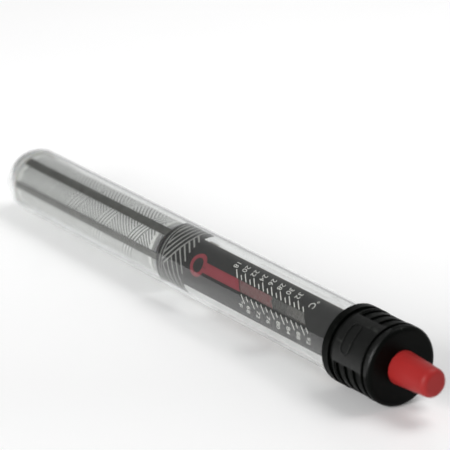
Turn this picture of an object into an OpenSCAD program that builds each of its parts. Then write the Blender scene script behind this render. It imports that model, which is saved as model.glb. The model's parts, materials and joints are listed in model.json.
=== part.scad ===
// Submersible aquarium heater, lying along X.
// The origin is on the tube's axis, at the plane where the glass enters the cap.
// The dome end is at -X, the cap and the knob are at +X, and +Z is up.
// Everything behind the scale is drawn in the scale's own frame: there +Z points
// out through the middle of the scale, and scale_frame() turns it into place.

/* [Glass tube] */
// Outside diameter of the glass tube
tube_d = 30; // [30:0.5:31]
// Thickness of the glass
glass_wall = 1.4; // [1.2:0.1:1.4]
// Length of glass outside the cap, dome included
tube_len = 252; // [248:1:300]
// Depth of the glass inside the cap
socket_depth = 14; // [14:0.5:14.5]

/* [Cap] */
// Radius of the cap beyond the radius of the glass
cap_wall = 1.87; // [1.8:0.01:3]
// Length of the cap
cap_len = 30.9; // [30.9:0.1:36]
// Radius of the rounded shoulder at the cap's end
shoulder_r = 2.2; // [1.5:0.1:2.4]
// Depth of the grip grooves
groove_depth = 1.1; // [0.5:0.1:1.2]
// Width of one grip groove
groove_w = 2.4; // [1.5:0.1:2.6]
// Distance between two grip grooves
groove_pitch = 5.4; // [5:0.1:5.5]
// Half of the smooth panel's angle
panel_half_angle = 38.5; // [25:0.5:50]

/* [Knob] */
// Diameter of the knob at the cap
knob_base_d = 14.4; // [12:0.1:14.6]
// Diameter of the knob near its tip
knob_tip_d = 12.3; // [10:0.1:12.4]
// Length of the knob
knob_len = 21; // [18:0.5:30]

/* [Temperature scale] */
// Turn of the scale's middle away from straight up, about X
scale_roll = 59; // [0:1:359]
// Distance between two degrees Celsius on the scale
mm_per_degree = 3.073; // [2.8:0.001:3.073]
// Place of the scale's first degree on the X axis
scale_start_x = -66.1; // [-66.1:0.1:-65]
// Temperature at the start of the scale
degrees_min = 18; // [18:1:18]
// Temperature at which the indicator stands
degrees_rest = 26; // [24:1:28]

/* [Heating section] */
// Radius of the ceramic core
core_r = 8.2; // [7:0.1:8.2]
// Number of turns of the heating coil
coil_turns = 12; // [6:1:12]
// Radius of the resistance wire
coil_wire_r = 0.35; // [0.25:0.05:0.4]

/* [Hidden] */
$fn = 72;

eps = 0.01;
// Gap between two pieces that only rest against each other
seat_gap = 0.02;
// Radial clearance of a turning or sliding fit
run_gap = 0.05;

tube_r = tube_d / 2;
tube_in_r = tube_r - glass_wall;
dome_x = tube_r - tube_len;
neck_r = tube_r - 0.4;

cap_r = tube_r + cap_wall;
rib_r = cap_r - 0.25;
face_r = cap_r - shoulder_r;
flange_w = 4.3;
first_groove_w = 3;
rib_start = 8.3;
rib_end = 24.4;
first_rib_groove = 9.3;
fine_groove_w = 0.6;
fine_groove_depth = 0.35;
last_groove_x = 25.9;
last_groove_w = 1.9;
edge_chamfer = 0.5;
panel_turn = 5.5;
badge_x = 14.1;
badge_w = 6.2;
badge_len = 14.5;
badge_rim = 0.8;
badge_rise = 0.25;
cap_cavity_r = 14.2;
cap_end_wall_x = 24;

gasket_t = 1.2;
plug_x = 3;
plug_r = tube_in_r - 0.15;
plug_head_x = socket_depth + gasket_t + 2 * seat_gap;
plug_head_t = 1.45;
plug_head_end = plug_head_x + plug_head_t;
oring_r = 0.75;
oring_x = 8;
oring_squeeze = 0.1;

spindle_r = 2.5;
spindle_thread_r = 2.4;
spindle_core_r = 1.95;
thread_pitch = 2.15;
thread_from = -84.4;
thread_to = -14;
journal_r = 1.5;
journal_from = -88.4;
drive_len = 14;
spindle_end = cap_len + drive_len;
flat_height = 1.8;
collar_x = plug_head_end + 0.1;
collar_w = 1.4;
collar_r = 3.4;
clip_x = 1.9;
clip_w = 0.7;
clip_r = 3.6;
clip_half_angle = 150;
shaft_seal_x = 27;
shaft_seal_r = 0.78;
shaft_seal_half_w = 0.85;
shaft_groove_r = spindle_r + 2 * shaft_seal_r + 3 * seat_gap;
knob_gap = 0.2;
knob_round = 2.5;

label_r = tube_in_r - 0.4;
label_t = 0.3;
label_from = -121;
label_to = plug_x - 0.2;
label_mid = -101.5;
label_half = 46;
label_wide_half = 68;
window_half = 9;
window_half_w = 2.1;
window_from = -63;
window_to = -17.5;
window_r = label_r - 0.2;
window_t = 0.18;
// Film beyond the slot at its start, at its end and to both sides
lap_start = 5;
lap_end = 4;
lap_angle = 3;
slant = 45;

indicator_x = scale_start_x + (degrees_rest - degrees_min) * mm_per_degree;
flag_len = 44;
flag_overrun = 3;
flag_r = label_r - 1;
flag_t = 0.6;
flag_half = 12.5;
block_lag = 1;
block_len = 8;
block_half_w = 4.5;
block_top = 3.6;
foot_z = -4.9;
foot_top = -2.65;
foot_len = 49;
foot_half_w = 1.5;
foot_slope = 0.03;

bearing_from = -88.5;
bearing_to = thread_from - 0.1;
bearing_half_w = 4;
bearing_top = 3.2;
foot_gap_y = 0.3;
foot_gap_z = 0.15;

plate_top = -5;
plate_t = 1.4;
plate_bottom = plate_top - plate_t;
plate_half_w = 8.4;
plate_from = -124.1;
plate_to = plug_x - seat_gap;
ridge_from = -116.5;
ridge_to = -18;
ridge_y = block_half_w + 0.1;
ridge_w = 1;
ridge_h = 1.2;
tab_t = 2.4;
tab_bottom = -9.9;
tab_half_w = 6.4;
screw_y = 4.5;
screw_z = -8.2;
screw_depth = 6.5;
screw_head_r = 1.6;
screw_head_t = 1.5;
screw_slot = [1.2, 0.4, 4];

nose_x = -70.5;
nose_gap = 0.15;
nose_z = foot_z + foot_slope * (indicator_x - block_lag - nose_x) - nose_gap;
nose_r = 1;
nose_shoulder = 0.6;
nose_half_w = 1.2;
// Half of the chassis opening that the nose passes through
nose_window = 2;
lever_pivot_x = -24;
lever_pivot_z = -8.2;
lever_end = -84;
lever_half_w = 2.5;
lever_bottom = -8.8;
lever_top = -7.6;
lever_eye_r = 1.7;
pin_r = 1;
lug_from = -26.5;
lug_to = -21.5;
lug_bottom = -10.4;
lug_y = 2.7;
lug_w = 1.7;
contact_x = -82;
contact_r = 1.4;
fixed_contact_t = 0.6;
moving_contact_t = 0.48;

strip_x = -93;
strip_root = -38.35;
rivet_x = -40;
strip_top = -11.5;
strip_bottom = -12.2;
strip_half_w = 2.4;
post_from = -42;
post_to = -37;
post_bottom = -12.9;
post_half_w = 4.2;
post_slot_half_w = 2.8;
post_chamfer = 1;
rivet_r = 0.6;
rivet_play = 0.15;
rivet_head_r = 1.2;
rivet_head_t = 0.5;
magnet_from = -92.5;
magnet_len = 5;
magnet_half_w = 2.4;
magnet_bottom = -10.2;
armature_inset = 0.5;
armature_half_w = 2.2;
armature_t = 0.48;

lead_r = 0.75;
core_pair_y = 1.3;
cord_z = -10.9;
lead_y = 9.5;
lead_z = -4;
lead_end = -131;
lead_start = 18;

shield_x = -125.4;
shield_t = 1.2;
spacer_t = 2;
near_spacer_x = -129.4;
far_spacer_x = dome_x + 0.5;
core_from = far_spacer_x + spacer_t + seat_gap;
core_to = near_spacer_x - seat_gap;
coil_gap = 0.45;
coil_r = core_r + coil_wire_r + coil_gap;
coil_margin = 4;
sleeve_r = 11.4;
sleeve_t = 0.7;
rail_r = 12.2;
rail_t = 0.8;
rail_from = dome_x + 1;
rail_to = -122;
upper_rail_half = 7.8;
upper_rail_turn = 27.5;
lower_rail_half = 6.2;
lower_rail_turn = -23.5;
cushion_gap = 0.3;

cord_r = 2.8;
gland_r = 3.5;
gland_len = 4;
cord_out = 7;
cord_in_x = 21;
conductor_r = 0.95;
crimp_from = 17.2;
crimp_to = cord_in_x - 0.2;
cores_from = 18.1;

module scale_frame() {
    rotate([scale_roll, 0, 0])
        children();
}

// Cylinder along X from one place to another, with an offset across the axis
module rod(from, to, r, y = 0, z = 0) {
    translate([from, y, z])
        rotate([0, 90, 0])
            cylinder(h = to - from, r = r);
}

// Tapered cylinder along X
module taper(from, to, r_from, r_to) {
    translate([from, 0, 0])
        rotate([0, 90, 0])
            cylinder(h = to - from, r1 = r_from, r2 = r_to);
}

// Ring along X with a square section
module ring(from, to, r_in, r_out, y = 0, z = 0) {
    difference() {
        rod(from, to, r_out, y, z);
        rod(from - 1, to + 1, r_in, y, z);
    }
}

// Ring with a round section
module round_ring(x, major_r, minor_r) {
    translate([x, 0, 0])
        rotate([0, 90, 0])
            rotate_extrude()
                translate([major_r, 0])
                    circle(minor_r);
}

// Part of a ring: turn is the angle of its middle from +Z towards +Y
module arc_band(from, to, r_in, r_out, half_angle, turn = 0) {
    rotate([0, 90, 0])
        rotate([0, 0, 180 - turn - half_angle])
            rotate_extrude(angle = 2 * half_angle)
                translate([r_in, from])
                    square([r_out - r_in, to - from]);
}

// Block between two corners
module block(low, high) {
    translate(low)
        cube(high - low);
}

// Everything on the +X side of a slanting plane through x on the middle line
module beyond_slant(x) {
    translate([x, 0, tube_r])
        rotate([0, 0, slant])
            translate([0, -tube_d, -tube_r])
                cube([4 * tube_d, 2 * tube_d, 2 * tube_r]);
}

// Polyline of wire, slightly thicker at its bends
module wire(points, r) {
    bend_r = 1.15 * r;
    for (i = [0 : len(points) - 2]) {
        start = points[i];
        step = points[i + 1] - start;
        length = norm(step);
        translate(start)
            rotate([0, acos(step[2] / length), atan2(step[1], step[0])])
                cylinder(h = length, r = r);
    }
    for (i = [1 : len(points) - 2])
        translate(points[i])
            sphere(bend_r);
}

module glass_tube() {
    color([0.85, 0.9, 0.9, 0.4])
        difference() {
            union() {
                translate([dome_x, 0, 0])
                    sphere(tube_r);
                rod(dome_x, 0, tube_r);
                rod(-eps, socket_depth, neck_r);
            }
            translate([dome_x, 0, 0])
                sphere(tube_in_r);
            rod(dome_x, socket_depth + 1, tube_in_r);
        }
}

module cap_shell() {
    taper(0, edge_chamfer, cap_r - edge_chamfer, cap_r);
    rod(edge_chamfer, cap_len - shoulder_r, cap_r);
    round_ring(cap_len - shoulder_r, face_r, shoulder_r);
    rod(cap_len - shoulder_r, cap_len, face_r);
}

module grip_grooves() {
    ring(flange_w, flange_w + first_groove_w, cap_r - groove_depth, cap_r + 1);
    ring(rib_end, rib_end + fine_groove_w, cap_r - fine_groove_depth, cap_r + 1);
    ring(last_groove_x, last_groove_x + last_groove_w, cap_r - groove_depth, cap_r + 1);
    scale_frame() {
        back = 180 + panel_turn;
        rib_half = 180 - panel_half_angle;
        arc_band(rib_start, rib_end, rib_r, cap_r + 1, rib_half, back);
        for (i = [0 : 2]) {
            x = first_rib_groove + i * groove_pitch;
            arc_band(x, x + groove_w, cap_r - groove_depth, cap_r + 1, rib_half, back);
        }
    }
}

// Slot shape with round ends, long across the axis
module stadium(w, length, h) {
    straight = length - w;
    translate([-w / 2, -straight / 2, 0])
        cube([w, straight, h]);
    for (side = [-1, 1])
        translate([0, side * straight / 2, 0])
            cylinder(h = h, r = w / 2);
}

module badge_rim() {
    inner_w = badge_w - 2 * badge_rim;
    intersection() {
        scale_frame()
            rotate([-panel_turn, 0, 0])
                translate([badge_x, 0, 0])
                    difference() {
                        stadium(badge_w, badge_len, 2 * cap_r);
                        translate([0, 0, -1])
                            stadium(inner_w, badge_len - 2 * badge_rim, 2 * cap_r + 2);
                    }
        ring(rib_start, rib_end, cap_r - groove_depth, cap_r + badge_rise);
    }
}

module cap_body() {
    color([0.07, 0.07, 0.075])
        difference() {
            union() {
                difference() {
                    cap_shell();
                    grip_grooves();
                }
                badge_rim();
            }
            rod(-1, plug_head_end + seat_gap, neck_r + run_gap);
            rod(plug_head_end, cap_end_wall_x, cap_cavity_r);
            rod(cap_end_wall_x - 1, cap_len + 1, spindle_r + run_gap);
            rod(shaft_seal_x - shaft_seal_half_w, shaft_seal_x + shaft_seal_half_w, shaft_groove_r);
            scale_frame()
                rod(cap_end_wall_x - 1, cap_len + 1, cord_r + run_gap, 0, cord_z);
        }
}

module mouth_gasket() {
    color("dimgray")
        ring(socket_depth + seat_gap, socket_depth + seat_gap + gasket_t, plug_r + run_gap, neck_r);
}

module inner_plug() {
    color("ivory")
        scale_frame()
            difference() {
                union() {
                    rod(plug_x, plug_head_x + eps, plug_r);
                    rod(plug_head_x, plug_head_end, neck_r - run_gap);
                }
                rod(plug_x - 1, plug_head_end + 1, spindle_r + run_gap);
                ring(oring_x - oring_r, oring_x + oring_r, plug_r - 2 * oring_r + oring_squeeze, plug_r + 1);
                for (side = [-1, 1]) {
                    rod(plug_x - 1, plug_head_end + 1, lead_r + run_gap, side * core_pair_y, cord_z);
                    rod(plug_x - 1, plug_x + screw_depth + 0.5, pin_r, side * screw_y, screw_z);
                }
            }
}

module plug_oring() {
    color("black")
        round_ring(oring_x, tube_in_r - oring_r - seat_gap, oring_r - seat_gap);
}

// Outer form of the spindle's driving end, with a clearance all round
module driving_end(from, to, gap) {
    reach = 2 * spindle_r;
    intersection() {
        rod(from, to, spindle_r + gap);
        block([from - 1, -reach, -reach], [to + 1, reach, flat_height + gap]);
    }
}

module knob() {
    base_r = knob_base_d / 2;
    tip_r = knob_tip_d / 2;
    knob_x = cap_len + knob_gap;
    round_x = cap_len + knob_len - knob_round;
    color("firebrick")
        difference() {
            union() {
                taper(knob_x, round_x, base_r, tip_r);
                round_ring(round_x, tip_r - knob_round, knob_round);
                rod(round_x - 1, round_x + knob_round, tip_r - knob_round);
            }
            scale_frame()
                driving_end(knob_x - 1, spindle_end + seat_gap, seat_gap);
        }
}

module knob_oring() {
    color("black")
        round_ring(shaft_seal_x, spindle_r + shaft_seal_r + seat_gap, shaft_seal_r);
}

module spindle() {
    turns = floor((thread_to - thread_from) / thread_pitch);
    crest = thread_pitch / 2;
    color("beige")
        scale_frame() {
            difference() {
                union() {
                    rod(thread_to, cap_len, spindle_r);
                    rod(collar_x, collar_x + collar_w, collar_r);
                }
                ring(clip_x - run_gap, clip_x + clip_w + run_gap, spindle_core_r, spindle_r + 1);
            }
            driving_end(cap_len - eps, spindle_end, 0);
            rod(thread_from, thread_to + eps, spindle_core_r);
            for (i = [0 : turns - 1]) {
                x = thread_from + i * thread_pitch;
                rod(x, x + crest, spindle_thread_r);
            }
            rod(journal_from, thread_from + eps, journal_r);
        }
}

module spindle_clip() {
    color("silver")
        scale_frame()
            arc_band(clip_x, clip_x + clip_w, spindle_core_r + seat_gap, clip_r, clip_half_angle, 180);
}

module spindle_bearing() {
    tunnel_half_w = foot_half_w + foot_gap_y;
    tunnel_top = foot_top + foot_gap_z;
    color("white")
        scale_frame()
            difference() {
                block(
                    [bearing_from, -bearing_half_w, plate_top + seat_gap],
                    [bearing_to, bearing_half_w, bearing_top]
                );
                rod(bearing_from - 1, bearing_to + 1, journal_r + run_gap);
                block(
                    [bearing_from - 1, -tunnel_half_w, plate_top - 1],
                    [bearing_to + 1, tunnel_half_w, tunnel_top]
                );
            }
}

module indicator_carriage() {
    front = indicator_x - block_lag;
    back = front - block_len;
    foot_back = front - foot_len;
    wedge = [
        [front, foot_z],
        [front, foot_top],
        [foot_back, foot_top],
        [foot_back, foot_z + foot_slope * foot_len]
    ];
    color("red")
        scale_frame() {
            difference() {
                union() {
                    block([back, -block_half_w, foot_z], [front, block_half_w, block_top]);
                    block([back, -foot_half_w, block_top - eps], [front, foot_half_w, flag_r + flag_t / 2]);
                    translate([0, foot_half_w, 0])
                        rotate([90, 0, 0])
                            linear_extrude(2 * foot_half_w)
                                polygon(wedge);
                }
                rod(foot_back - 1, front + 1, spindle_thread_r + run_gap);
                // Path of the lever's nose under the block
                translate([0, foot_half_w, 0])
                    rotate([90, 0, 0])
                        linear_extrude(2 * foot_half_w)
                            polygon([
                                [front + 1, foot_z - foot_slope],
                                [front + 1, foot_z - 1],
                                [back - 1, foot_z - 1],
                                [back - 1, foot_z + foot_slope * (block_len + 1)]
                            ]);
            }
            difference() {
                arc_band(
                    indicator_x - flag_len, indicator_x + flag_overrun,
                    flag_r, flag_r + flag_t, flag_half
                );
                beyond_slant(indicator_x);
            }
        }
}

// Slot with slanting ends through the label
module scale_slot() {
    shift = window_half_w * tan(slant);
    linear_extrude(tube_r)
        polygon([
            [window_from + shift, -window_half_w],
            [window_to + shift, -window_half_w],
            [window_to - shift, window_half_w],
            [window_from - shift, window_half_w]
        ]);
}

module scale_label() {
    side_half = (label_wide_half - label_half) / 2 + 2;
    side_turn = label_half + side_half;
    color([0.13, 0.13, 0.13])
        scale_frame()
            difference() {
                arc_band(label_from, label_to, label_r, label_r + label_t, label_wide_half);
                for (side = [-1, 1])
                    arc_band(label_mid, label_to + 1, label_r - 1, label_r + 1, side_half, side * side_turn);
                scale_slot();
            }
}

module scale_window() {
    color([0.35, 0.35, 0.36, 0.6])
        scale_frame()
            arc_band(
                window_from - lap_start, window_to + lap_end,
                window_r, window_r + window_t, window_half + lap_angle
            );
}

module thermostat_frame() {
    ridge_top = plate_top + ridge_h;
    pin_reach = lug_y + lug_w + 1;
    color("saddlebrown")
        scale_frame()
            difference() {
                union() {
                    block([plate_from, -plate_half_w, plate_bottom], [plate_to, plate_half_w, plate_top]);
                    block(
                        [plate_to - tab_t, -tab_half_w, tab_bottom],
                        [plate_to, tab_half_w, plate_bottom + eps]
                    );
                    for (side = [0, 1])
                        mirror([0, side, 0]) {
                            block(
                                [ridge_from, ridge_y, plate_top - eps],
                                [ridge_to, ridge_y + ridge_w, ridge_top]
                            );
                            block([lug_from, lug_y, lug_bottom], [lug_to, lug_y + lug_w, plate_bottom + eps]);
                        }
                }
                block(
                    [nose_x - nose_window, -nose_window, plate_bottom - 1],
                    [nose_x + nose_window, nose_window, plate_top + 1]
                );
                translate([lever_pivot_x, pin_reach, lever_pivot_z])
                    rotate([90, 0, 0])
                        cylinder(h = 2 * pin_reach, r = pin_r + seat_gap);
                for (side = [-1, 1])
                    rod(plate_to - tab_t - 1, plate_to + 1, pin_r, side * screw_y, screw_z);
            }
}

module frame_screws() {
    head_x = plate_to - tab_t - seat_gap;
    color("silver")
        scale_frame()
            for (side = [-1, 1])
                difference() {
                    union() {
                        rod(head_x - screw_head_t, head_x, screw_head_r, side * screw_y, screw_z);
                        rod(head_x - eps, plug_x + screw_depth, pin_r - run_gap, side * screw_y, screw_z);
                    }
                    translate([head_x - screw_head_t, side * screw_y, screw_z])
                        cube(screw_slot, center = true);
                }
}

module setting_lever() {
    color("gainsboro")
        scale_frame()
            difference() {
                union() {
                    block(
                        [lever_end, -lever_half_w, lever_bottom],
                        [lever_pivot_x, lever_half_w, lever_top]
                    );
                    translate([lever_pivot_x, lever_half_w, lever_pivot_z])
                        rotate([90, 0, 0])
                            cylinder(h = 2 * lever_half_w, r = lever_eye_r);
                    block(
                        [nose_x - nose_r, -nose_half_w, lever_top - eps],
                        [nose_x + nose_r, nose_half_w, nose_z - nose_shoulder]
                    );
                    translate([nose_x, nose_half_w, nose_z - nose_r])
                        rotate([90, 0, 0])
                            cylinder(h = 2 * nose_half_w, r = nose_r);
                }
                translate([lever_pivot_x, lever_half_w + 1, lever_pivot_z])
                    rotate([90, 0, 0])
                        cylinder(h = 2 * lever_half_w + 2, r = pin_r + run_gap);
            }
}

module lever_pin() {
    color("silver")
        scale_frame()
            translate([lever_pivot_x, lug_y + lug_w, lever_pivot_z])
                rotate([90, 0, 0])
                    cylinder(h = 2 * (lug_y + lug_w), r = pin_r);
}

module fixed_contact() {
    color("peru")
        scale_frame()
            translate([contact_x, 0, lever_bottom - seat_gap - fixed_contact_t])
                cylinder(h = fixed_contact_t, r = contact_r);
}

module rivet_hole(r) {
    translate([rivet_x, 0, post_bottom - 1])
        cylinder(h = 3, r = r);
}

module bimetal_post() {
    color("silver")
        scale_frame()
            difference() {
                block(
                    [post_from, -post_half_w, post_bottom],
                    [post_to, post_half_w, plate_bottom - seat_gap]
                );
                block(
                    [post_from - 1, -post_slot_half_w, strip_bottom - run_gap],
                    [post_to + 1, post_slot_half_w, plate_top]
                );
                for (side = [-1, 1])
                    translate([post_from - 1, side * post_half_w, post_bottom])
                        rotate([45, 0, 0])
                            cube([post_to - post_from + 2, post_chamfer, post_chamfer]);
                rivet_hole(rivet_r + seat_gap);
            }
}

module bimetal_strip() {
    color("darkkhaki")
        scale_frame()
            difference() {
                union() {
                    block([strip_x, -strip_half_w, strip_bottom], [strip_root, strip_half_w, strip_top]);
                    // Round root, on the axis that the strip bends about
                    translate([strip_root, strip_half_w, (strip_top + strip_bottom) / 2])
                        rotate([90, 0, 0])
                            cylinder(h = 2 * strip_half_w, r = (strip_top - strip_bottom) / 2);
                }
                rivet_hole(rivet_r + rivet_play);
            }
}

module bimetal_rivet() {
    color("gold")
        scale_frame()
            translate([rivet_x, 0, 0]) {
                translate([0, 0, post_bottom])
                    cylinder(h = strip_top - post_bottom + run_gap + eps, r = rivet_r);
                translate([0, 0, strip_top + run_gap])
                    cylinder(h = rivet_head_t, r = rivet_head_r);
            }
}

module moving_contact() {
    color("peru")
        scale_frame()
            translate([contact_x, 0, strip_top + seat_gap])
                cylinder(h = moving_contact_t, r = contact_r);
}

module armature() {
    armature_from = magnet_from + armature_inset;
    armature_to = magnet_from + magnet_len - armature_inset;
    bottom = strip_top + seat_gap;
    color("gray")
        scale_frame()
            block(
                [armature_from, -armature_half_w, bottom],
                [armature_to, armature_half_w, bottom + armature_t]
            );
}

module magnet() {
    color("dimgray")
        scale_frame()
            block(
                [magnet_from, -magnet_half_w, magnet_bottom],
                [magnet_from + magnet_len, magnet_half_w, plate_bottom - seat_gap]
            );
}

module neon_lamp() {
    lamp_r = 1.4;
    lamp_y = 7.1;
    lamp_from = -13;
    lamp_to = -4;
    color("orange")
        scale_frame()
            translate([0, lamp_y, plate_top + lamp_r + seat_gap]) {
                rod(lamp_from, lamp_to, lamp_r);
                translate([lamp_from, 0, 0])
                    sphere(lamp_r);
            }
}

module resistor() {
    body_r = 1.1;
    body_y = -7;
    body_from = -13;
    body_to = -5;
    color("tan")
        scale_frame()
            rod(body_from, body_to, body_r, body_y, plate_top + body_r + seat_gap);
}

module capacitor() {
    low = [-20, -3.2, -10.6];
    high = [-9, 3.2, plate_bottom - seat_gap];
    color("royalblue")
        scale_frame()
            block(low, high);
}

module lead_wires() {
    turn_x = 0;
    // The lead leaves the plug, passes the chassis's edge and reaches its straight run
    edge = [-6, 9.4, -8];
    run_x = -12;
    color("whitesmoke")
        scale_frame()
            for (side = [-1, 1])
                wire([
                    [lead_start, side * core_pair_y, cord_z],
                    [turn_x, side * core_pair_y, cord_z],
                    [edge[0], side * edge[1], edge[2]],
                    [run_x, side * lead_y, lead_z],
                    [lead_end, side * lead_y, lead_z]
                ], lead_r);
}

module crimp_sleeves() {
    cord_crimp_r = 1.25;
    lead_crimp_r = 1.2;
    lead_crimp_from = -112;
    lead_crimp_to = -107;
    color("lightsteelblue")
        scale_frame()
            for (side = [-1, 1]) {
                ring(crimp_from, crimp_to, conductor_r + run_gap, cord_crimp_r, side * core_pair_y, cord_z);
                ring(lead_crimp_from, lead_crimp_to, lead_r + seat_gap, lead_crimp_r, side * lead_y, lead_z);
            }
}

module heat_shield() {
    color("silver")
        scale_frame()
            difference() {
                rod(shield_x, shield_x + shield_t, sleeve_r + sleeve_t);
                for (side = [-1, 1])
                    rod(shield_x - 1, shield_x + shield_t + 1, lead_r + run_gap, side * lead_y, lead_z);
            }
}

module end_spacers() {
    near_spacer_end = near_spacer_x + spacer_t;
    color("antiquewhite")
        scale_frame() {
            difference() {
                rod(near_spacer_x, near_spacer_end, sleeve_r + sleeve_t);
                for (side = [-1, 1])
                    rod(near_spacer_x - 1, near_spacer_end + 1, lead_r + run_gap, side * lead_y, lead_z);
            }
            rod(far_spacer_x, far_spacer_x + spacer_t, sleeve_r + sleeve_t);
        }
}

module ceramic_core() {
    bore_r = 1.6;
    color("gainsboro")
        difference() {
            rod(core_from, core_to, core_r);
            rod(core_from - 1, core_to + 1, bore_r);
        }
}

module heating_coil() {
    coil_len = core_to - core_from - 2 * coil_margin;
    slices = 18 * coil_turns;
    color("gray")
        translate([core_from + coil_margin, 0, 0])
            rotate([0, 90, 0])
                linear_extrude(coil_len, twist = -360 * coil_turns, slices = slices, $fn = 6)
                    translate([coil_r, 0])
                        circle(coil_wire_r);
}

module fibre_sleeve() {
    color("lightgray")
        ring(core_from, core_to, sleeve_r, sleeve_r + sleeve_t);
}

module support_rails() {
    color([0.3, 0.3, 0.3])
        scale_frame() {
            arc_band(rail_from, rail_to, rail_r, rail_r + rail_t, upper_rail_half, upper_rail_turn);
            arc_band(rail_from, rail_to, rail_r, rail_r + rail_t, lower_rail_half, lower_rail_turn);
        }
}

module bottom_cushion() {
    color("whitesmoke")
        intersection() {
            translate([dome_x, 0, 0])
                sphere(tube_in_r - cushion_gap);
            rod(-tube_len, far_spacer_x - seat_gap, tube_in_r);
        }
}

module cord_gland() {
    color([0.07, 0.07, 0.075])
        scale_frame()
            ring(cap_len + seat_gap, cap_len + gland_len, cord_r + seat_gap, gland_r, 0, cord_z);
}

module cord_jacket() {
    jacket_end = cap_len + cord_out;
    color([0.09, 0.09, 0.09])
        scale_frame()
            difference() {
                rod(cord_in_x, jacket_end, cord_r, 0, cord_z);
                for (side = [-1, 1])
                    rod(cord_in_x - 1, jacket_end + 1, conductor_r + seat_gap, side * core_pair_y, cord_z);
            }
}

module cord_cores() {
    color("brown")
        scale_frame()
            for (side = [-1, 1])
                rod(cores_from, cap_len + cord_out + 1, conductor_r, side * core_pair_y, cord_z);
}

glass_tube();
cap_body();
mouth_gasket();
inner_plug();
plug_oring();
knob();
knob_oring();
spindle();
spindle_clip();
spindle_bearing();
indicator_carriage();
scale_label();
scale_window();
thermostat_frame();
frame_screws();
setting_lever();
lever_pin();
fixed_contact();
bimetal_post();
bimetal_strip();
bimetal_rivet();
moving_contact();
armature();
magnet();
neon_lamp();
resistor();
capacitor();
lead_wires();
crimp_sleeves();
heat_shield();
end_spacers();
ceramic_core();
heating_coil();
fibre_sleeve();
support_rails();
bottom_cushion();
cord_gland();
cord_jacket();
cord_cores();
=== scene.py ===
"""Looks of the submersible aquarium heater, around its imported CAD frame.

Lengths named *_MM are millimetres: along X, from the plane where the glass enters the cap,
or around the glass. Angles on the scale are degrees, from the scale's middle towards its
Celsius side.
"""

import json
import math

import bmesh
import bpy
import numpy as np
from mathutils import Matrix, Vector

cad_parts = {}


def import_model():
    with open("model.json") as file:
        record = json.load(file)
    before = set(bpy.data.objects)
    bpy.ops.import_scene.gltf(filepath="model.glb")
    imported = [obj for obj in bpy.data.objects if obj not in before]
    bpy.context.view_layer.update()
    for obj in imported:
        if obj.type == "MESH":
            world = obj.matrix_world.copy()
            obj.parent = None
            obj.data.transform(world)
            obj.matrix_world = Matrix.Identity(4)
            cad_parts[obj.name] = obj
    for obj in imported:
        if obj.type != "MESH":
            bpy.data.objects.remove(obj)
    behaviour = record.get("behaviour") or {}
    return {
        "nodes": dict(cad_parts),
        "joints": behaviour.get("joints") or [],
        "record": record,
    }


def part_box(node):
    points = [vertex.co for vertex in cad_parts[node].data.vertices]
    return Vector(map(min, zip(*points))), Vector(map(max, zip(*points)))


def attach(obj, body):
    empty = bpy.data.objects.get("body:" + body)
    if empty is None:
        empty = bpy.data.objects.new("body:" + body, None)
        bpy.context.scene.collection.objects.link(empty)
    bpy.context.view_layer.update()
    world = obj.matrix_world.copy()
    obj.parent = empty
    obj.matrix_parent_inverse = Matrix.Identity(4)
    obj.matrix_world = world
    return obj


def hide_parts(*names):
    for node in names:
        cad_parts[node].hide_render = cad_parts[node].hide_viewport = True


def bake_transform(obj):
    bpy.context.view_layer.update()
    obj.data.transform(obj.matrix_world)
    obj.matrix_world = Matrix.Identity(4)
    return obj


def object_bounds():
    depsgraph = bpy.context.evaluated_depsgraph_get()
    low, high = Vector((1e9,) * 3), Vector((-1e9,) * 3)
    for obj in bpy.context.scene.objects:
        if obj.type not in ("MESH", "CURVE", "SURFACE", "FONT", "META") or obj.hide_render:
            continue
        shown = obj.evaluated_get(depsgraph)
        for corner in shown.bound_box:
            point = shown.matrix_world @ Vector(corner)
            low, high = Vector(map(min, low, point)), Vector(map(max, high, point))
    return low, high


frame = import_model()
CAD_LO, CAD_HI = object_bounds()
NODES = frame["nodes"]
SLOT_OF = {row["node"]: row["material_slot"] for row in frame["record"]["subparts"]}
MM = 0.001


def joint_axis(name):
    return next(j["axis"] for j in frame["joints"] if j["name"] == name)


# The lever's hinge lies along the scale's Celsius direction, so it gives the scale's roll
LEVER_AXIS = joint_axis("lever_tilt")
ROLL = math.atan2(LEVER_AXIS[2], LEVER_AXIS[1])


def radii(node):
    """Distances of a CAD node's vertices from the tube's axis, in metres."""
    co = np.array([v.co for v in NODES[node].data.vertices], float)
    return np.hypot(co[:, 1], co[:, 2])


# ---------------------------------------------------------------- materials


def srgb(r, g, b):
    """Linear colour of an 8-bit display colour."""
    linear = []
    for c in (r, g, b):
        linear.append(((c / 255 + 0.055) / 1.055) ** 2.4 if c > 10 else c / 255 / 12.92)
    return tuple(linear) + (1.0,)


def shaded(colour, factor):
    """A linear colour made darker or lighter."""
    return tuple(min(1.0, c * factor) for c in colour[:3]) + (1.0,)


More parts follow.
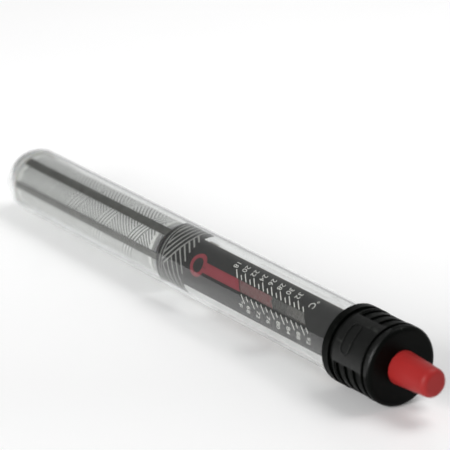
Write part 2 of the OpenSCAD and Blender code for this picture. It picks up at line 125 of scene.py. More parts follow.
class Shader:
    """A Principled material whose inputs are driven by procedural textures in object space."""

    def __init__(self, name):
        self.mat = bpy.data.materials.new(name)
        self.mat.use_nodes = True
        self.tree = self.mat.node_tree
        self.tree.nodes.clear()
        self.out = self.add("ShaderNodeOutputMaterial")
        self.bsdf = self.add("ShaderNodeBsdfPrincipled")
        self.link(self.bsdf.outputs[0], self.out.inputs["Surface"])
        self.coord = self.add("ShaderNodeTexCoord").outputs["Object"]

    def add(self, kind, **props):
        made = self.tree.nodes.new(kind)
        for key, value in props.items():
            setattr(made, key, value)
        return made

    def link(self, a, b):
        self.tree.links.new(a, b)

    def put(self, target, value):
        if isinstance(value, bpy.types.NodeSocket):
            self.link(value, target)
        else:
            target.default_value = value

    def noise(self, scale, detail=3.0, stretch=(1, 1, 1), rough=0.55):
        mapping = self.add("ShaderNodeMapping")
        mapping.inputs["Scale"].default_value = stretch
        self.link(self.coord, mapping.inputs["Vector"])
        tex = self.add("ShaderNodeTexNoise")
        tex.inputs["Scale"].default_value = scale
        tex.inputs["Detail"].default_value = detail
        tex.inputs["Roughness"].default_value = rough
        self.link(mapping.outputs[0], tex.inputs["Vector"])
        return tex.outputs["Fac"]

    def axis(self, name):
        parts = self.add("ShaderNodeSeparateXYZ")
        self.link(self.coord, parts.inputs[0])
        return parts.outputs[name]

    def math(self, op, a, b=0.0, c=0.0, clamp=False):
        made = self.add("ShaderNodeMath", operation=op, use_clamp=clamp)
        for i, value in enumerate((a, b, c)):
            self.put(made.inputs[i], value)
        return made.outputs[0]

    def span(self, value, low, high, out_low, out_high):
        """Maps low to high onto out_low to out_high, and holds the ends."""
        made = self.add("ShaderNodeMapRange", clamp=True)
        names = ("Value", "From Min", "From Max", "To Min", "To Max")
        for key, v in zip(names, (value, low, high, out_low, out_high)):
            self.put(made.inputs[key], v)
        return made.outputs[0]

    def uneven(self, scale, detail, low, high):
        """A value that wanders between low and high, in patches."""
        return self.span(self.noise(scale, detail), 0.3, 0.7, low, high)

    def blend(self, fac, a, b, kind="MIX"):
        made = self.add("ShaderNodeMix", data_type="RGBA", blend_type=kind)
        self.put(made.inputs["Factor"], fac)
        self.put(made.inputs[6], a)
        self.put(made.inputs[7], b)
        return made.outputs[2]

    def attribute(self, name):
        return self.add("ShaderNodeAttribute", attribute_name=name).outputs["Fac"]

    def bump(self, height, strength, depth, under=None):
        made = self.add("ShaderNodeBump")
        made.inputs["Strength"].default_value = strength
        made.inputs["Distance"].default_value = depth
        self.link(height, made.inputs["Height"])
        if under is not None:
            self.link(under, made.inputs["Normal"])
        self.link(made.outputs[0], self.bsdf.inputs["Normal"])
        return made.outputs[0]

    def set(self, **inputs):
        for key, value in inputs.items():
            self.put(self.bsdf.inputs[key.replace("_", " ")], value)


SKIN_DEPTH = 0.03 * MM


def moulded(
    name, colour, rough, tone=0.12, grain=2600, depth=SKIN_DEPTH, spread=0.08, glow=0.0, gloss=0.5
):
    """Moulded plastic or rubber: faint flow marks in the colour, uneven gloss and a fine skin."""
    s = Shader(name)
    flow = s.noise(90, 4, (0.4, 1, 1))
    s.set(Base_Color=s.blend(flow, shaded(colour, 1 - tone), shaded(colour, 1 + tone)))
    s.set(IOR=1.5, Specular_IOR_Level=gloss)
    s.set(Roughness=s.uneven(450, 4, rough - spread, rough + spread))
    skin = s.bump(s.noise(grain, 2), 0.35, depth)
    s.bump(s.noise(140, 3), 0.12, 0.3 * MM, skin)
    if glow:
        s.set(Subsurface_Weight=glow, Subsurface_Radius=(0.004, 0.002, 0.001), Subsurface_Scale=0.5)
    return s.mat


def metal(name, colour, rough, brushed=(0.08, 1, 1), tarnish=0.25):
    """Drawn or stamped metal: brush lines, smudges and a few darker spots."""
    s = Shader(name)
    spots = s.span(s.noise(260, 5), 0.42, 0.7, 0, 1)
    s.set(Base_Color=s.blend(spots, colour, shaded(colour, 1 - tarnish)), Metallic=1.0)
    lines = s.noise(3200, 2, brushed)
    s.set(Roughness=s.math("MULTIPLY_ADD", lines, 0.22, rough))
    s.bump(lines, 0.25, SKIN_DEPTH)
    return s.mat


def mineral(name, colour, rough, grain=900, pits=0.4):
    """Fired ceramic, ferrite or fibre board: speckle, pits and an uneven dry surface."""
    s = Shader(name)
    speck = s.noise(grain, 5)
    s.set(Base_Color=s.blend(s.span(speck, 0.5, 0.68, 0, 0.6), colour, shaded(colour, 0.72)))
    s.set(Roughness=s.uneven(grain / 2, 3, rough - 0.1, rough + 0.1))
    s.bump(speck, pits, 0.12 * MM)
    return s.mat


def clear(name, tint, rough, ior=1.47, smudge=0.03):
    """Clear glass. Shadow and diffuse rays pass straight through, so that what is inside is lit."""
    s = Shader(name)
    wipe = s.noise(60, 3, (0.06, 1, 1))
    s.set(Base_Color=tint, Transmission_Weight=1.0, IOR=ior)
    s.set(Roughness=s.span(wipe, 0.45, 0.75, rough, rough + smudge))
    s.bump(s.noise(38, 1, (0.08, 1, 1)), 0.03, 0.6 * MM)
    straight = s.add("ShaderNodeBsdfTransparent")
    straight.inputs[0].default_value = tint
    path = s.add("ShaderNodeLightPath")
    through = s.math("MAXIMUM", path.outputs["Is Shadow Ray"], path.outputs["Is Diffuse Ray"])
    mix = s.add("ShaderNodeMixShader")
    s.link(through, mix.inputs[0])
    s.link(s.bsdf.outputs[0], mix.inputs[1])
    s.link(straight.outputs[0], mix.inputs[2])
    s.link(mix.outputs[0], s.out.inputs["Surface"])
    return s.mat


def smoked_film(name):
    """The smoky see-through strip behind the label's slot."""
    s = Shader(name)
    cloud = s.noise(160, 4, (0.5, 1, 1))
    s.set(Base_Color=s.blend(cloud, srgb(96, 95, 93), srgb(106, 105, 102)), Roughness=0.42)
    s.set(Alpha=s.span(cloud, 0.3, 0.7, 0.4, 0.46))
    s.bump(s.noise(1800, 2), 0.2, 0.02 * MM)
    return s.mat


# The indicator's flag lies just outside this radius, and the rest of it inside
FLAG_R = 11.8 * MM
FLAG_EDGE = 0.1 * MM


def indicator(name):
    """The indicator's moulding: red on its flag and dark grey below it, with faint flow marks."""
    s = Shader(name)
    y, z = s.axis("Y"), s.axis("Z")
    radius = s.math("SQRT", s.math("MULTIPLY_ADD", y, y, s.math("MULTIPLY", z, z)))
    flag = s.span(radius, FLAG_R - FLAG_EDGE, FLAG_R + FLAG_EDGE, 0, 1)
    flow = s.noise(90, 4, (0.4, 1, 1))
    red = s.blend(flow, srgb(204, 84, 94), srgb(220, 104, 112))
    grey = s.blend(flow, srgb(66, 66, 64), srgb(78, 78, 76))
    s.set(Base_Color=s.blend(flag, grey, red))
    s.set(Roughness=s.uneven(450, 4, 0.38, 0.54))
    s.bump(s.noise(2600, 2), 0.35, SKIN_DEPTH)
    return s.mat


BLACK_TO_MM = -106
GREY_FROM_MM = -94


def printed_film(name):
    """Dark label film: dark grey ink on its main field and black ink towards the dome."""
    s = Shader(name)
    field = s.span(s.axis("X"), BLACK_TO_MM * MM, GREY_FROM_MM * MM, 0, 1)
    mottle = s.noise(700, 4)
    ink = s.blend(mottle, srgb(24, 24, 23), srgb(36, 36, 35))
    black = s.blend(mottle, srgb(6, 6, 6), srgb(12, 12, 12))
    s.set(Base_Color=s.blend(field, black, ink))
    s.set(Roughness=s.uneven(220, 4, 0.38, 0.55), Specular_IOR_Level=0.25)
    s.bump(mottle, 0.15, 0.02 * MM)
    return s.mat


def print_ink(name, colour, worn):
    """Screen-printed ink with small breaks in it."""
    s = Shader(name)
    patch = s.span(s.noise(1500, 4), 0.5, 0.75, 0, 0.55)
    s.set(Base_Color=s.blend(patch, colour, worn))
    s.set(Roughness=s.uneven(600, 3, 0.5, 0.7))
    s.bump(s.noise(3500, 2), 0.2, 0.01 * MM)
    return s.mat


def woven_glass(name):
    """Glass-fibre sleeve: pale yarn crests, valleys painted grey as the shade that falls between
    the yarns, and fine strands along the yarn.
    """
    s = Shader(name)
    crest = s.attribute("yarn")
    strand = s.noise(5200, 2, (0.3, 1, 1))
    pale = s.blend(strand, srgb(214, 214, 212), srgb(232, 232, 230))
    # Painted shade: the weave's valleys are coloured dark grey where shade falls between the yarns
    grey = s.blend(s.noise(240, 4), srgb(84, 84, 82), srgb(106, 106, 104))
    s.set(Base_Color=s.blend(crest, grey, pale))
    s.set(Roughness=0.72, Sheen_Weight=0.3, Sheen_Roughness=0.4)
    s.bump(strand, 0.3, 0.05 * MM)
    return s.mat


# Where the cap's smooth panel is: its middle's angle, how directly a surface faces the same
# way as it, and where it starts beyond the flange
PANEL_ANGLE = math.radians(5.5)
PANEL_FACING = (0.74, 0.8)
PANEL_FROM_MM = (4.5, 5)


def cap_plastic(name):
    """Black satin plastic, greyer in random rubbed patches, grey on its sharp edges as rubbed wear
    and a painted edge highlight together, and glossier on its smooth panel.
    """
    s = Shader(name)
    rub = s.span(s.noise(60, 5), 0.45, 0.75, 0, 1)
    body = s.blend(rub, srgb(2, 3, 2), srgb(7, 9, 7))
    # Grey on the sharp edges: partly rubbed wear, partly a painted highlight along the edges
    edge = s.add("ShaderNodeNewGeometry").outputs["Pointiness"]
    patches = s.span(s.noise(500, 4), 0.4, 0.7, 0, 0.5)
    worn = s.math("MULTIPLY", s.span(edge, 0.52, 0.6, 0, 1), patches)
    s.set(Base_Color=s.blend(worn, body, srgb(70, 73, 69)))
    toward = s.add("ShaderNodeVectorMath", operation="DOT_PRODUCT")
    s.link(s.add("ShaderNodeTexCoord").outputs["Normal"], toward.inputs[0])
    angle = PANEL_ANGLE - ROLL
    toward.inputs[1].default_value = (0, math.sin(angle), math.cos(angle))
    facing = s.span(toward.outputs["Value"], *PANEL_FACING, 0, 1)
    past_flange = s.span(s.axis("X"), *(x * MM for x in PANEL_FROM_MM), 0, 1)
    panel = s.math("MULTIPLY", facing, past_flange)
    s.set(Roughness=s.uneven(350, 4, 0.36, 0.48))
    s.set(Specular_IOR_Level=s.span(panel, 0, 1, 0.06, 0.34))
    skin = s.bump(s.noise(4200, 2), 0.3, 0.02 * MM)
    s.bump(s.noise(120, 3), 0.1, 0.3 * MM, skin)
    return s.mat


def wound_wire(name):
    """Resistance wire with a heat-blued oxide."""
    s = Shader(name)
    s.set(Base_Color=s.blend(s.noise(600, 4), srgb(96, 86, 84), srgb(128, 112, 96)), Metallic=1.0)
    s.set(Roughness=s.uneven(1500, 3, 0.35, 0.6))
    s.bump(s.noise(6000, 2), 0.2, 0.01 * MM)
    return s.mat


FINISH = {
    "clear_glass": lambda n: clear(n, (0.972, 0.98, 0.977, 1), 0.005),
    "lamp_glass": lambda n: clear(n, (0.98, 0.8, 0.62, 1), 0.03),
    "cap_plastic": cap_plastic,
    "label_film": printed_film,
    "window_film": smoked_film,
    "glass_fibre": woven_glass,
    "resistance_wire": wound_wire,
    "knob_plastic": lambda n: moulded(
        n, srgb(152, 37, 36), 0.42, 0.08, 3000, 0.02 * MM, spread=0.06, glow=0.04, gloss=0.22
    ),
    "indicator_plastic": indicator,
    "seal_rubber": lambda n: moulded(n, srgb(38, 38, 38), 0.62, 0.2, 1800, 0.04 * MM),
    "cord_rubber": lambda n: moulded(n, srgb(34, 34, 35), 0.55, 0.2, 1500, 0.04 * MM),
    "silicone": lambda n: moulded(n, srgb(186, 186, 184), 0.5, 0.06, 900, 0.04 * MM, glow=0.2),
    "plug_plastic": lambda n: moulded(n, srgb(214, 210, 200), 0.5, 0.06),
    "nylon": lambda n: moulded(n, srgb(150, 148, 142), 0.42, 0.06),
    "phenolic": lambda n: mineral(n, srgb(96, 68, 50), 0.5, 1400, 0.25),
    "capacitor_case": lambda n: moulded(n, srgb(58, 84, 140), 0.38, 0.1),
    "resistor_lacquer": lambda n: moulded(n, srgb(196, 168, 122), 0.4, 0.15, 1200),
    "lead_insulation": lambda n: moulded(n, srgb(214, 212, 206), 0.5, 0.08, 3500),
    "core_insulation": lambda n: moulded(n, srgb(128, 82, 52), 0.45, 0.12, 3500),
    "ceramic_white": lambda n: mineral(n, srgb(206, 206, 203), 0.6),
    "ceramic_core": lambda n: mineral(n, srgb(208, 200, 186), 0.7, 700),
    "magnet_ferrite": lambda n: mineral(n, srgb(58, 58, 60), 0.5, 2000),
    "rail_steel": lambda n: metal(n, srgb(106, 106, 102), 0.45),
    "spring_steel": lambda n: metal(n, srgb(150, 150, 152), 0.28),
    "plated_steel": lambda n: metal(n, srgb(190, 190, 188), 0.25),
    "lever_steel": lambda n: metal(n, srgb(170, 170, 172), 0.32),
    "shield_aluminium": lambda n: metal(n, srgb(205, 205, 206), 0.3, (1, 0.1, 1)),
    "contact_silver": lambda n: metal(n, srgb(200, 196, 188), 0.22, (1, 1, 1), 0.35),
    "bimetal": lambda n: metal(n, srgb(166, 156, 134), 0.3),
    "brass": lambda n: metal(n, srgb(186, 150, 86), 0.28, (1, 1, 1)),
    "tinned_copper": lambda n: metal(n, srgb(184, 180, 172), 0.3),
}
SHADERS = {slot: make(slot) for slot, make in FINISH.items()}
for node_name, obj in NODES.items():
    obj.data.materials.clear()
    obj.data.materials.append(SHADERS[SLOT_OF[node_name]])

# ------------------------------------------------------- pieces on the label

PRINT_R = radii("scale_label").max() + 0.025 * MM
PRINT_T = 0.03 * MM
PRINT_STEP_MM = 0.7

LIGHT_INK = print_ink("light_ink", srgb(206, 206, 200), srgb(150, 150, 146))
HATCH_INK = print_ink("hatch_ink", srgb(142, 142, 138), srgb(112, 112, 109))
RED_INK = print_ink("red_ink", srgb(118, 38, 47), srgb(98, 33, 41))
BLACK_INK = print_ink("black_ink", srgb(56, 6, 16), srgb(70, 14, 24))


def wrap(x_mm, arc_mm):
    """A point on the label: x along the tube, arc around it from the scale's middle."""
    angle = arc_mm * MM / PRINT_R - ROLL
    return Vector((x_mm * MM, PRINT_R * math.sin(angle), PRINT_R * math.cos(angle)))


def arc(angle_deg):
    return math.radians(angle_deg) * PRINT_R / MM


def stroke(bm, points, width):
    """A printed line through points, each as (x, arc) in millimetres."""
    last = len(points) - 1
    rows = []
    for i, p in enumerate(points):
        along = points[min(i + 1, last)] - points[max(i - 1, 0)]
        side = Vector((-along.y, along.x)).normalized() * width / 2
        rows.append([bm.verts.new(wrap(*(p + side))), bm.verts.new(wrap(*(p - side)))])
    for (p, q), (r, s) in zip(rows, rows[1:]):
        bm.faces.new((p, q, s, r))


def ribbon(bm, start, end, width):
    """A straight printed line."""
    a, b = Vector(start), Vector(end)
    steps = max(1, math.ceil((b - a).length / PRINT_STEP_MM))
    stroke(bm, [a.lerp(b, i / steps) for i in range(steps + 1)], width)


def annulus(bm, x, arc_mid, r_in, r_out, segments=64, bands=3):
    grid = []
    for i in range(segments):
        t = 2 * math.pi * i / segments
        row = []
        for k in range(bands + 1):
            r = r_in + (r_out - r_in) * k / bands
            row.append(bm.verts.new(wrap(x + r * math.cos(t), arc_mid + r * math.sin(t))))
        grid.append(row)
    for i in range(segments):
        for k in range(bands):
            here, there = grid[i], grid[(i + 1) % segments]
            bm.faces.new((here[k], here[k + 1], there[k + 1], there[k]))


# Height of a capital or a figure in Blender's own font, as a share of the font's size
CAP_HEIGHT = 0.69


def glyphs(bm, text, x, arc_mid, height, squeeze=0.88):
    """Figures whose tops point along +X, and which read round the tube from its Celsius side."""
    curve = bpy.data.curves.new("glyph", "FONT")
    curve.body = text
    curve.size = height / CAP_HEIGHT
    curve.align_x = "CENTER"
    curve.resolution_u = 3
    holder = bpy.data.objects.new("glyph", curve)
    bpy.context.scene.collection.objects.link(holder)
    graph = bpy.context.evaluated_depsgraph_get()
    flat = bpy.data.meshes.new_from_object(holder.evaluated_get(graph))
    made = []
    for v in flat.vertices:
        made.append(bm.verts.new(wrap(x + v.co.y - height / 2, arc_mid - v.co.x * squeeze)))
    for face in flat.polygons:
        bm.faces.new([made[i] for i in face.vertices])
    bpy.data.objects.remove(holder)
    bpy.data.curves.remove(curve)
    bpy.data.meshes.remove(flat)


def printed(name, draw, ink):
    """A piece of print: draw fills a bmesh, which becomes a thin solid riding on the housing."""
    bm = bmesh.new()
    draw(bm)
    bmesh.ops.recalc_face_normals(bm, faces=bm.faces)
    mesh = bpy.data.meshes.new(name)
    bm.to_mesh(mesh)
    bm.free()
    obj = bpy.data.objects.new(name, mesh)
    bpy.context.scene.collection.objects.link(obj)
    mesh.materials.append(ink)
    solid = obj.modifiers.new("thickness", "SOLIDIFY")
    solid.thickness = PRINT_T
    solid.offset = 0
    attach(obj, "housing")
    return obj


C_START_MM = -66.1
C_STEP_MM = 3.073
C_DEGREES = range(18, 34)
C_INNER = 9.9
C_LONG = 22.6
C_SHORT = 17.1
F_START_MM = -59.72
F_STEP_MM = 3.455
F_DEGREES = range(68, 96, 2)
F_INNER = -11.7
F_LONG = -24.0
F_SHORT = -18.6
TICK_SLANT = 1.26
C_TICK_MM = 0.44
F_TICK_MM = 0.4
# Numbers: how far they sit from their mark's inner end, their angle and their height
C_NUMBER_SHIFT_MM = -5.5
C_NUMBER_ANGLE = 31.2
C_NUMBER_MM = 2.8
F_NUMBER_SHIFT_MM = 6.5
F_NUMBER_ANGLE = -30.4
F_NUMBER_MM = 2.5
# Unit signs: place along the tube, angle and height
C_SIGN = (-18.1, 30, 3.3)
F_SIGN = (-58.8, -27, 2.6)


def tick_x(x, inner, outer):
    """Where a mark ends: it leans to the dome on the Celsius side, and to the cap on the other."""
    return x - TICK_SLANT * (arc(outer) - arc(inner))


def celsius_marks(bm):
    for degrees in C_DEGREES:
        x = C_START_MM + C_STEP_MM * (degrees - C_DEGREES[0])
        outer = C_LONG if degrees % 2 == 0 else C_SHORT
        ribbon(bm, (x, arc(C_INNER)), (tick_x(x, C_INNER, outer), arc(outer)), C_TICK_MM)


def fahrenheit_marks(bm):
    for degrees in F_DEGREES:
        x = F_START_MM + F_STEP_MM * (degrees - F_DEGREES[0]) / 2
        outer = F_LONG if degrees % 4 == 0 else F_SHORT
        ribbon(bm, (x, arc(F_INNER)), (tick_x(x, F_INNER, outer), arc(outer)), F_TICK_MM)


def unit_sign(bm, text, place):
    x, angle, height = place
    glyphs(bm, text, x, arc(angle), height)


def celsius_numbers(bm):
    for degrees in C_DEGREES[::2]:
        x = C_START_MM + C_STEP_MM * (degrees - C_DEGREES[0]) + C_NUMBER_SHIFT_MM
        glyphs(bm, str(degrees), x, arc(C_NUMBER_ANGLE), C_NUMBER_MM)
    unit_sign(bm, "°C", C_SIGN)


def fahrenheit_numbers(bm):
    for degrees in F_DEGREES[::2]:
        x = F_START_MM + F_STEP_MM * (degrees - F_DEGREES[0]) / 2 + F_NUMBER_SHIFT_MM
        glyphs(bm, str(degrees), x, arc(F_NUMBER_ANGLE), F_NUMBER_MM)
    unit_sign(bm, "°F", F_SIGN)


BULB_MM = -92.6
BULB_ANGLE = -0.7
BULB_IN_MM = 3.15
BULB_OUT_MM = 5.0
BULB_MARK_IN_MM = 0.1
BULB_MARK_OUT_MM = 0.9
BAR_FROM_MM = -88.2
BAR_TO_MM = -63.0
BAR_HALF_MM = 2.12
BAR_STRIPS = 7


def red_column(bm):
    """The bar of the printed thermometer, with a slanting end where the slot begins."""
    lanes = []
    for i in range(BAR_STRIPS + 1):
        side = -BAR_HALF_MM + 2 * BAR_HALF_MM * i / BAR_STRIPS
        lanes.append([
            bm.verts.new(wrap(BAR_FROM_MM, side)),
            bm.verts.new(wrap(BAR_TO_MM - side, side)),
        ])
    for (p, q), (r, s) in zip(lanes, lanes[1:]):
        bm.faces.new((p, q, s, r))


def red_bulb(bm):
    annulus(bm, BULB_MM, arc(BULB_ANGLE), BULB_IN_MM, BULB_OUT_MM)


def bulb_mark(bm):
    """The dark dot where the bar meets the ring."""
    centre = arc(BULB_ANGLE)
    annulus(bm, BAR_FROM_MM, centre, BULB_MARK_IN_MM, BULB_MARK_OUT_MM, segments=20, bands=1)


RING_MM = -118.8
RING_LINE_MM = 0.45
HATCH_FROM_MM = -117.1
HATCH_TO_MM = -101.4
HATCH_LINES = 6
HATCH_PITCH_MM = 2.7
HATCH_LINE_MM = 0.72
# The hatch covers this angle either side of the scale's middle
HATCH_HALF = 66
HATCH_STEP = 1.5
# The bowed line that divides the two hatched zones runs between these angles
DIVIDER_FROM = -26
DIVIDER_TO = 50
DIVIDER_TO_MM = -105.8
DIVIDER_BOW = 0.00175
# Branches leave the divider at this step, and lean more the higher they start
BRANCH_STEP = 9.2
BRANCH_LEAN = 0.91
BRANCH_LEAN_PER_DEGREE = 0.0165
BRANCH_LEAN_MIN = 0.5


def divider_x(angle):
    return DIVIDER_TO_MM - DIVIDER_BOW * max(DIVIDER_TO - angle, 0) ** 2


def hatch(bm):
    """Bowed parallel lines above the divider, and lines that branch off below it."""
    angles = np.arange(DIVIDER_FROM, HATCH_HALF, HATCH_STEP)
    for i in range(HATCH_LINES):
        line = [Vector((divider_x(t) - HATCH_PITCH_MM * i, arc(t))) for t in angles]
        line = [p for p in line if p.x >= HATCH_FROM_MM]
        if len(line) > 1:
            stroke(bm, line, HATCH_LINE_MM)
    for angle in np.arange(DIVIDER_FROM, DIVIDER_TO, BRANCH_STEP):
        x = divider_x(angle)
        line = [Vector((x, arc(angle)))]
        while x < HATCH_TO_MM and angle > -HATCH_HALF:
            lean = max(BRANCH_LEAN_MIN, BRANCH_LEAN + BRANCH_LEAN_PER_DEGREE * angle)
            x += lean * arc(HATCH_STEP)
            angle -= HATCH_STEP
            line.append(Vector((x, arc(angle))))
        stroke(bm, line, HATCH_LINE_MM)


def ring_lines(bm):
    for x in (RING_MM, HATCH_FROM_MM):
        ribbon(bm, (x, -arc(HATCH_HALF)), (x, arc(HATCH_HALF)), RING_LINE_MM)


printed("celsius_marks", celsius_marks, LIGHT_INK)
printed("fahrenheit_marks", fahrenheit_marks, LIGHT_INK)
printed("celsius_numbers", celsius_numbers, LIGHT_INK)
printed("fahrenheit_numbers", fahrenheit_numbers, LIGHT_INK)
printed("hatch_lines", hatch, HATCH_INK)
printed("ring_lines", ring_lines, HATCH_INK)
printed("red_column", red_column, RED_INK)
printed("red_bulb", red_bulb, RED_INK)
printed("bulb_mark", bulb_mark, BLACK_INK)

# ---------------------------------------------------------- the woven sleeve

SLEEVE_COLUMNS = 400
SLEEVE_ROWS = 236
YARN_DEPTH = 0.16 * MM
# Gap between the crests and the CAD sleeve's outside
CREST_GAP = 0.02 * MM
# Yarns in one circumference's length along the tube, in the bands and in the field between
# them, and how far each advances along the tube per distance round it. A lean times its
# number of yarns is whole, so that the weave closes on itself.
BAND_YARN = 36
BAND_LEAN = 23 / BAND_YARN
FIELD_YARN = 34
FIELD_LEAN = 1
# How many bands wind round the tube, their share of its length, and their shift along it
BAND_STARTS = 2
BAND_SHARE = 0.34
BAND_PHASE_MM = 137.0
# The yarn's crest rises from the first of these heights of a cosine wave, over the second
CREST_FROM = 0.35
CREST_RISE = 0.5


def sleeve():
    """A closed tube in herringbone weave, whose yarns are ridges that turn from band to band."""
    lo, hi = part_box("fibre_sleeve")
    r = radii("fibre_sleeve")
    r_out, r_in = r.max() - CREST_GAP, r.min()
    turn = 2 * math.pi * r_out
    x = np.linspace(lo.x, hi.x, SLEEVE_COLUMNS)
    angle = np.arange(SLEEVE_ROWS) * 2 * math.pi / SLEEVE_ROWS
    gx, ga = np.meshgrid(x, angle, indexing="ij")
    arcs = ga * r_out
    pitch = BAND_LEAN * turn / BAND_STARTS
    band = np.mod(gx - BAND_LEAN * arcs + BAND_PHASE_MM * MM, pitch) / pitch
    banded = (gx - BAND_LEAN * arcs) * BAND_YARN
    field = (gx + FIELD_LEAN * arcs) * FIELD_YARN
    wave = 0.5 + 0.5 * np.cos(2 * math.pi * np.where(band < BAND_SHARE, banded, field) / turn)
    yarn = np.clip((wave - CREST_FROM) / CREST_RISE, 0, 1)
    yarn = yarn * yarn * (3 - 2 * yarn)
    radius = r_out - YARN_DEPTH * (1 - yarn)
    radius[[0, -1], :] = r_out - YARN_DEPTH
    outer = np.stack([gx, radius * np.sin(ga), radius * np.cos(ga)], -1).reshape(-1, 3)
    ends = []
    for end in (lo.x, hi.x):
        flat = np.full(SLEEVE_ROWS, end)
        ends.append(np.stack([flat, r_in * np.sin(angle), r_in * np.cos(angle)], -1))
    verts = np.concatenate([outer] + ends)
    i, j = np.meshgrid(np.arange(SLEEVE_COLUMNS - 1), np.arange(SLEEVE_ROWS), indexing="ij")
    k = (j + 1) % SLEEVE_ROWS
    row = SLEEVE_ROWS
    here, there = i * row, (i + 1) * row
    faces = np.stack([here + j, here + k, there + k, there + j], -1).reshape(-1, 4)
    ring = np.arange(row)
    after = (ring + 1) % row
    near = SLEEVE_COLUMNS * row
    far = near + row
    last = (SLEEVE_COLUMNS - 1) * row
    near_cap = np.stack([near + ring, near + after, after, ring], -1)
    far_cap = np.stack([last + ring, last + after, far + after, far + ring], -1)
    bore = np.stack([far + ring, far + after, near + after, near + ring], -1)
    mesh = bpy.data.meshes.new("fibre_sleeve_weave")
    mesh.from_pydata(verts.tolist(), [], np.concatenate([faces, near_cap, far_cap, bore]).tolist())
    # The yarn attribute also masks the painted shade in the valleys of the weave
    shade = np.concatenate([yarn.reshape(-1), np.zeros(2 * row)]).astype(np.float32)
    mesh.attributes.new("yarn", "FLOAT", "POINT").data.foreach_set("value", shade)
    mesh.validate()
    mesh.shade_smooth()
    mesh.materials.append(SHADERS["glass_fibre"])
    obj = bpy.data.objects.new("fibre_sleeve_weave", mesh)
    bpy.context.scene.collection.objects.link(obj)
    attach(obj, "housing")
    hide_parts("fibre_sleeve")


sleeve()

# --------------------------------------------------------- the sliced bimetal strip

STRIP_CUTS = 14
WELD = 0.001 * MM


def bent_strip():
    """The bimetal strip, held by its post: a copy cut across into slices from the post to the
    moving contact, with the CAD strip hidden.
    """
    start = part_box("bimetal_post")[0].x
    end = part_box("moving_contact")[1].x
    mesh = NODES["bimetal_strip"].data.copy()
    mesh.name = "bimetal_strip_bending"
    bm = bmesh.new()
    bm.from_mesh(mesh)
    bmesh.ops.remove_doubles(bm, verts=bm.verts, dist=WELD)
    for x in np.linspace(start, end, STRIP_CUTS):
        everything = bm.verts[:] + bm.edges[:] + bm.faces[:]
        bmesh.ops.bisect_plane(bm, geom=everything, plane_co=(x, 0, 0), plane_no=(1, 0, 0))
    bm.to_mesh(mesh)
    bm.free()
    obj = bpy.data.objects.new("bimetal_strip_bending", mesh)
    bpy.context.scene.collection.objects.link(obj)
    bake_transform(obj)
    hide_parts("bimetal_strip")


bent_strip()

# ------------------------------------------------------------ softened edges


def soften(node, width, segments=2, angle=30):
    """Rounds a CAD node's sharp edges a little, as a moulding or a stamping has them."""
    obj = NODES[node]
    weld = obj.modifiers.new("weld", "WELD")
    weld.merge_threshold = WELD
    bevel = obj.modifiers.new("edges", "BEVEL")
    bevel.width = width
    bevel.segments = segments
    bevel.limit_method = "ANGLE"
    bevel.angle_limit = math.radians(angle)
    bevel.use_clamp_overlap = True
    bevel.miter_outer = "MITER_ARC"
    obj.modifiers.new("normals", "WEIGHTED_NORMAL").keep_sharp = True


CAP_EDGE = 0.22 * MM
soften("cap_body", CAP_EDGE)

# --------------------------------------------------- floor, lights and camera

GLASS_LO, GLASS_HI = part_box("glass_tube")
CAP_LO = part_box("cap_body")[0]
FLOOR_SIZE = 5.0
FLOOR_GAP = 0.02 * MM
# Metres towards the camera from the floor's middle, between which its painted shade and painted
# glow change: painted light that makes the floor brighter at the back and darker nearer the camera
PAINTED_FALLOFF_SPAN = (-0.05, 0.12)
PAINTED_GLOW_SPAN = (-0.2, 0.1)
PAINTED_GLOW_FAR = 0.3
PAINTED_GLOW_NEAR = 0.08
# Degrees round from the view along +Y, and above the level
CAMERA_TURN = 54.93
CAMERA_RISE = 20.26


def floor():
    """A pale floor that the dome's end and the cap's flange rest on, with painted light: its colour
    is darker nearer the camera, and it glows more towards the back.
    """
    tube_r = -GLASS_LO.z
    touch_far = Vector((GLASS_LO.x + tube_r, 0, GLASS_LO.z))
    touch_near = Vector((CAP_LO.x, 0, CAP_LO.z))
    lie = touch_near - touch_far
    mesh = bpy.data.meshes.new("floor")
    s = FLOOR_SIZE / 2
    mesh.from_pydata([(-s, -s, 0), (s, -s, 0), (s, s, 0), (-s, s, 0)], [], [(0, 1, 2, 3)])
    obj = bpy.data.objects.new("floor", mesh)
    bpy.context.scene.collection.objects.link(obj)
    obj.location = (touch_far + touch_near) / 2
    obj.location.z -= FLOOR_GAP
    obj.rotation_euler = (0, math.atan2(-lie.z, lie.x), 0)
    shade = Shader("floor")
    turn = math.radians(CAMERA_TURN)
    across = shade.math("MULTIPLY", shade.axis("Y"), -math.cos(turn))
    near = shade.math("MULTIPLY_ADD", shade.axis("X"), math.sin(turn), across)
    pale = shade.blend(shade.noise(3, 3), srgb(247, 247, 247), srgb(253, 253, 253))
    # Painted shade: the floor's colour darkens nearer the camera
    tone = shade.span(near, *PAINTED_FALLOFF_SPAN, 0, 1)
    shade.set(Base_Color=shade.blend(tone, pale, srgb(244, 244, 244)))
    # Painted light: the floor glows, more strongly at the back than near the camera
    glow = shade.span(near, *PAINTED_GLOW_SPAN, PAINTED_GLOW_FAR, PAINTED_GLOW_NEAR)
    shade.set(Emission_Color=(1, 1, 1, 1), Emission_Strength=glow)
    shade.set(Roughness=shade.uneven(12, 4, 0.3, 0.42), IOR=1.4)
    mesh.materials.append(shade.mat)


floor()


# The bright side of the surroundings, how far a direction must lean to it, and the strengths
BRIGHT_SIDE = Vector((-0.05, 1.0, 0.05))
BRIGHT_SPAN = (0.15, 0.55)
WORLD_DIM = 0.24
WORLD_BRIGHT = 0.5


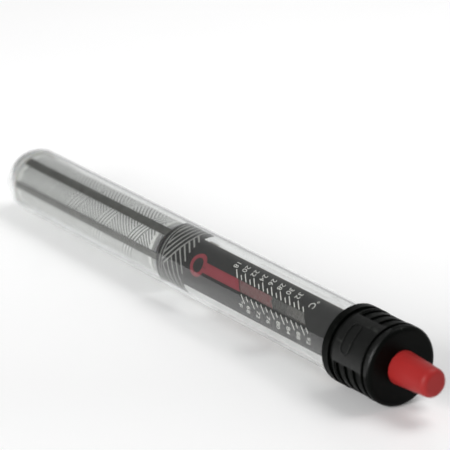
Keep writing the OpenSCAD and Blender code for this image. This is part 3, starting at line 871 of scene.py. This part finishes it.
def world():
    """Pale surroundings, brighter behind the heater than beside the camera."""
    made = bpy.data.worlds.new("studio")
    bpy.context.scene.world = made
    made.use_nodes = True
    tree = made.node_tree
    back = tree.nodes["Background"]
    coord = tree.nodes.new("ShaderNodeTexCoord")
    dot = tree.nodes.new("ShaderNodeVectorMath")
    dot.operation = "DOT_PRODUCT"
    dot.inputs[1].default_value = BRIGHT_SIDE.normalized()
    span = tree.nodes.new("ShaderNodeMapRange")
    levels = (*BRIGHT_SPAN, WORLD_DIM, WORLD_BRIGHT)
    for key, value in zip(("From Min", "From Max", "To Min", "To Max"), levels):
        span.inputs[key].default_value = value
    tree.links.new(coord.outputs["Generated"], dot.inputs[0])
    tree.links.new(dot.outputs["Value"], span.inputs["Value"])
    tree.links.new(span.outputs[0], back.inputs["Strength"])
    back.inputs["Color"].default_value = (1, 1, 1, 1)


def softbox(name, place, aim, width, height, power):
    """A rectangular light: sizes in metres, power in watts."""
    light = bpy.data.lights.new(name, "AREA")
    light.shape = "RECTANGLE"
    light.size, light.size_y, light.energy = width, height, power
    obj = bpy.data.objects.new(name, light)
    bpy.context.scene.collection.objects.link(obj)
    obj.location = place
    obj.rotation_euler = (Vector(aim) - Vector(place)).to_track_quat("-Z", "Y").to_euler()


world()
MIDDLE = (CAD_LO + CAD_HI) / 2
KEY_FROM = Vector((0.2, 0.5, 1.0))
FILL_FROM = Vector((0.4, -1.0, 0.45))
softbox("key", MIDDLE + KEY_FROM, MIDDLE, width=0.6, height=0.6, power=5.2)
softbox("fill", MIDDLE + FILL_FROM, MIDDLE, width=0.7, height=0.5, power=11)

CAMERA_DISTANCE = 1.2813
CAMERA_AIM = Vector((-0.0432, -0.0331, 0.0443))
LENS_MM = 256
SENSOR_MM = 36
F_STOP = 16
# The lens is focused this share of the glass's length from the cap, on the scale
FOCUS_SHARE = 0.17


def camera():
    turn, rise = math.radians(CAMERA_TURN), math.radians(CAMERA_RISE)
    level = math.cos(rise)
    back = Vector((math.sin(turn) * level, -math.cos(turn) * level, math.sin(rise)))
    data = bpy.data.cameras.new("camera")
    data.lens = LENS_MM
    data.sensor_width = SENSOR_MM
    obj = bpy.data.objects.new("camera", data)
    bpy.context.scene.collection.objects.link(obj)
    obj.location = CAMERA_AIM + back * CAMERA_DISTANCE
    obj.rotation_mode = "QUATERNION"
    obj.rotation_quaternion = (-back).to_track_quat("-Z", "Y")
    focus = bpy.data.objects.new("focus", None)
    bpy.context.scene.collection.objects.link(focus)
    focus.location = (-FOCUS_SHARE * (GLASS_HI.x - GLASS_LO.x), 0, 0)
    data.dof.use_dof = True
    data.dof.focus_object = focus
    data.dof.aperture_fstop = F_STOP
    bpy.context.scene.camera = obj


camera()
bpy.context.scene.view_settings.view_transform = "Standard"
